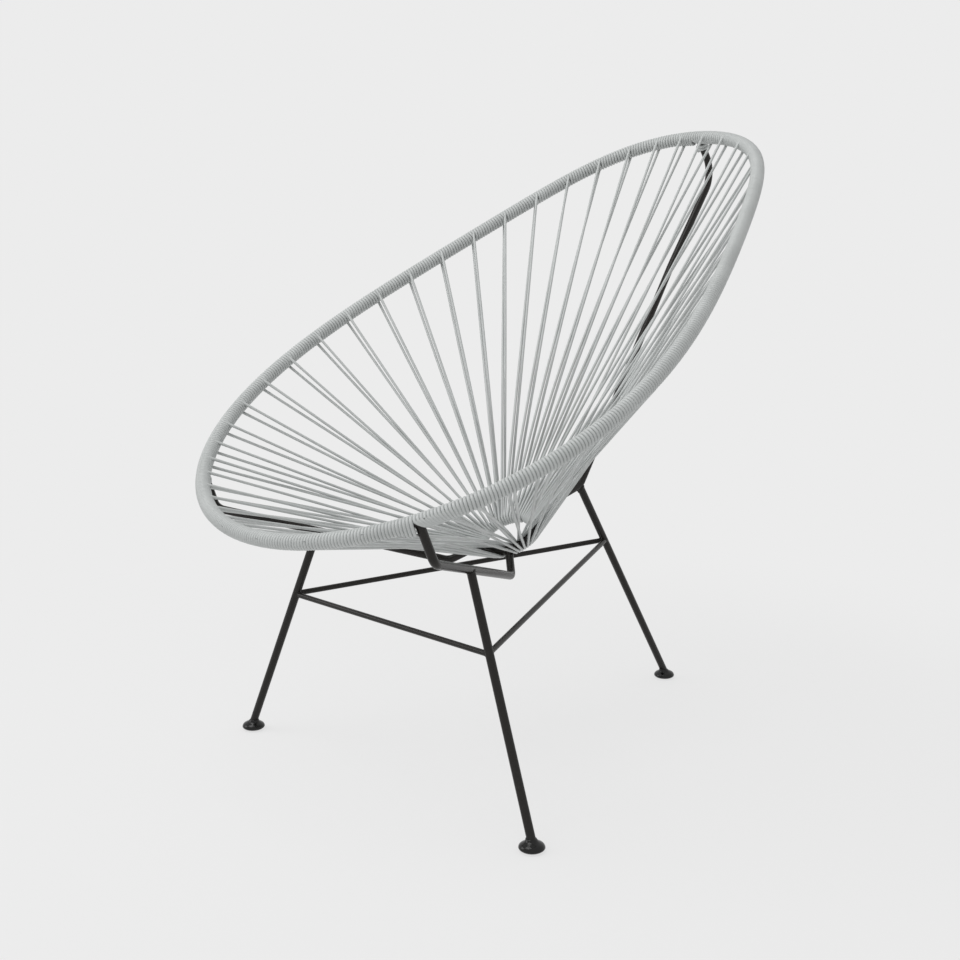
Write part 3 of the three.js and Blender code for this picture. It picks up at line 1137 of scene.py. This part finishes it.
        # The two strands bow apart where the hoop and the ring would hold them too close together.
        side = unit(np.cross(np.cross(reach, hoop.along[0]), reach))
        gap = ((returns + points[-1]) - (leaves + points[0])) @ side / 2
        bow = max(0.0, self.strand + self.room - gap) / 2
        along = np.linspace(0, 1, self.strand_steps + 1)[1:-1, None]
        swing = np.sin(np.pi * along) * bow * side
        down = leaves + (points[0] - leaves) * along - swing
        up = points[-1] + (returns - points[-1]) * along + swing
        return np.vstack([down, points, up])

    def lengths(self) -> Iterator[tuple[np.ndarray, np.ndarray]]:
        """Cuts the whole cord into its lengths, each from mid-bay to mid-bay.

        Yields:
            The points of each length, and the cord's thickness at each as a share of a wound turn's.
        """
        bays = [self.bay(loop) for loop in range(self.loops)]
        halves = [len(points) // 2 for points in bays]
        for first in range(0, self.loops, self.loops_a_length):
            before = first - 1
            parts = [bays[before][halves[before]:]]
            for loop in range(first, first + self.loops_a_length):
                following = bays[loop]
                parts.append(self.loop_points(loop, parts[-1][-1], following[0]))
                last = loop == first + self.loops_a_length - 1
                parts.append(following[:halves[loop] + 1] if last else following)
            # Wound parts and stretched ones take turns.
            shares = (1.0, self.strand / self.wound)
            thickness = [np.full(len(part), shares[place % 2]) for place, part in enumerate(parts)]
            yield np.vstack(parts), np.concatenate(thickness)

    def end_wrap(self) -> np.ndarray:
        """Winds the cord's end round the back arm, close under the hoop.

        Returns:
            Points in millimetres, one a row.
        """
        root, elbow = self.frame.back_arm[:2]
        along = unit(elbow - root)
        side = np.array([1.0, 0.0, 0.0])
        across = unit(np.cross(along, side))
        turn = np.linspace(0, 2 * math.pi * self.end_turns, round(self.end_turns * self.turn_steps) + 1)
        first = self.wrap + self.wound
        down = first + self.wound * turn / (2 * math.pi)
        return (root + down[:, None] * along + self.wrap * np.sin(turn)[:, None] * side
                + self.wrap * np.cos(turn)[:, None] * across)

    def build(self) -> float:
        """Models and dresses the cord.

        Returns:
            Its whole length in metres.
        """
        total = 0.0
        for number, (points, thickness) in enumerate(self.lengths(), 1):
            piece = tube(f"cord_length_{number:02d}", points, self.wound / 2, radii=thickness)
            self.finisher.finish(piece, self.look, f"seat_cord_{number:02d}")
            total += float(np.linalg.norm(np.diff(points, axis=0), axis=1).sum()) * MM
        self.finisher.finish(tube("cord_end_wrap", self.end_wrap(), self.wound / 2), self.look)
        return total


# Studio


@dataclass(frozen=True)
class Softbox:
    """A square lamp that points at the chair."""

    name: str
    place: tuple[float, float, float]
    size: float
    watts: float

    def build(self, target: Vector) -> None:
        """Adds the lamp.

        Args:
            target: The point that it faces, in metres.
        """
        lamp = bpy.data.lights.new(self.name, "AREA")
        lamp.shape = "SQUARE"
        lamp.size = self.size
        lamp.energy = self.watts
        light = bpy.data.objects.new(self.name, lamp)
        light.location = self.place
        light.rotation_euler = (target - Vector(self.place)).to_track_quat("-Z", "Y").to_euler()
        bpy.context.collection.objects.link(light)


def seen(tree: bpy.types.NodeTree, *kinds: str) -> bpy.types.NodeSocket:
    """Adds a switch that is on for rays of some kinds.

    Args:
        tree: The node tree that gets it.
        *kinds: The names that the light path gives them.

    Returns:
        The switch's output.
    """
    path = add_node(tree, "ShaderNodeLightPath")
    switch = path.outputs[kinds[0]]
    for kind in kinds[1:]:
        either = add_node(tree, "ShaderNodeMath", {0: switch, 1: path.outputs[kind]}, operation="MAXIMUM")
        switch = either.outputs["Value"]
    return switch


@dataclass
class Studio:
    """A pale floor and backdrop, soft lamps, and the camera of the photograph.

    Places and the floor's distances are in metres. The floor starts at fade_least of the backdrop's look
    and has all of it from fade_to on.
    """

    backdrop: str = "#ECECEC"
    floor_reflectance: str = "#ECECEC"
    ambient_colour: str = "#FFFFFF"
    ambient: float = 0.65
    floor_size: float = 40.0
    fade_least: float = 0.8
    fade_from: float = 0.55
    fade_to: float = 1.3
    azimuth: float = math.radians(45.36)
    elevation: float = math.radians(10.72)
    lens: float = 51.72
    sensor: float = 36.0
    camera_place: tuple[float, float, float] = (1.4218, -1.4688, 0.7914)
    target: tuple[float, float, float] = (0.0, 0.0, 0.45)
    lamps: Sequence[Softbox] = (
        Softbox("overhead", (-0.4, -1.2, 3.1), size=1.8, watts=33.0),
        Softbox("front_left", (-2.6, -2.4, 1.9), size=1.8, watts=20.0),
    )

    def build(self) -> None:
        """Adds the floor, the world, the lamps and the camera."""
        self._floor()
        self._world()
        for lamp in self.lamps:
            lamp.build(Vector(self.target))
        self._camera()
        bpy.context.scene.view_settings.view_transform = "Standard"

    def _floor(self) -> None:
        """Adds a floor that keeps the chair's soft shadow and melts into the backdrop further out."""
        bpy.ops.object.select_all(action="DESELECT")
        bpy.ops.mesh.primitive_plane_add(size=self.floor_size, location=(0, 0, 0))
        floor = bpy.context.object
        floor.name = "studio_floor"
        material = bpy.data.materials.new("Studio floor, matt white")
        tree = empty_tree(material)
        place = add_node(tree, "ShaderNodeTexCoord")
        distance = add_node(tree, "ShaderNodeVectorMath", {0: place.outputs["Object"]}, operation="LENGTH")
        fade = add_node(tree, "ShaderNodeMapRange",
                        {"Value": distance.outputs["Value"], "From Min": self.fade_from,
                         "From Max": self.fade_to, "To Min": self.fade_least},
                        interpolation_type="SMOOTHSTEP")
        matt = add_node(tree, "ShaderNodeBsdfDiffuse", {"Color": linear(self.floor_reflectance)})
        glow = add_node(tree, "ShaderNodeEmission", {"Color": linear(self.backdrop)})
        share = add_node(tree, "ShaderNodeMath",
                         {0: fade.outputs["Result"], 1: seen(tree, "Is Camera Ray", "Is Glossy Ray")},
                         operation="MULTIPLY")
        mix = add_node(tree, "ShaderNodeMixShader",
                       {"Fac": share.outputs["Value"], 1: matt.outputs["BSDF"], 2: glow.outputs["Emission"]})
        add_node(tree, "ShaderNodeOutputMaterial", {"Surface": mix.outputs["Shader"]})
        floor.data.materials.append(material)
        floor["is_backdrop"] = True

    def _world(self) -> None:
        """Sets an even light all round, and the plain backdrop that the camera and gloss see."""
        world = bpy.data.worlds.new("studio")
        tree = empty_tree(world)
        light = add_node(tree, "ShaderNodeBackground",
                         {"Color": linear(self.ambient_colour), "Strength": self.ambient})
        backdrop = add_node(tree, "ShaderNodeBackground", {"Color": linear(self.backdrop)})
        mix = add_node(tree, "ShaderNodeMixShader",
                       {"Fac": seen(tree, "Is Camera Ray", "Is Glossy Ray", "Is Transmission Ray"),
                        1: light.outputs["Background"], 2: backdrop.outputs["Background"]})
        add_node(tree, "ShaderNodeOutputWorld", {"Surface": mix.outputs["Shader"]})
        bpy.context.scene.world = world

    def _camera(self) -> None:
        """Adds the camera at the photograph's place."""
        data = bpy.data.cameras.new("camera")
        data.lens = self.lens
        data.sensor_width = self.sensor
        camera = bpy.data.objects.new("camera", data)
        camera.location = self.camera_place
        camera.rotation_euler = (math.pi / 2 - self.elevation, 0, self.azimuth)
        bpy.context.collection.objects.link(camera)
        bpy.context.scene.camera = camera


def corners(box: tuple[Sequence[float], Sequence[float]]) -> list[list[float]]:
    """Turns a box's two corners into plain lists."""
    return [[float(value) for value in corner] for corner in box]


def main() -> None:
    """Builds the chair and its studio, and works out how large it is."""
    logging.basicConfig(level=logging.INFO, format="%(message)s")
    packed = corners(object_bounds())
    finisher = Finisher()
    steel = SteelFrame(finisher)
    steel.build()
    Glides(finisher, steel.feet()).build()
    length = SeatCord(finisher, steel).build()
    Studio().build()
    LOG.info("%d pieces, %.1f m of cord", len(finisher.pieces), length)
    {"packed": packed, "dressed": corners(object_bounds())}


if __name__ == "__main__":
    main()
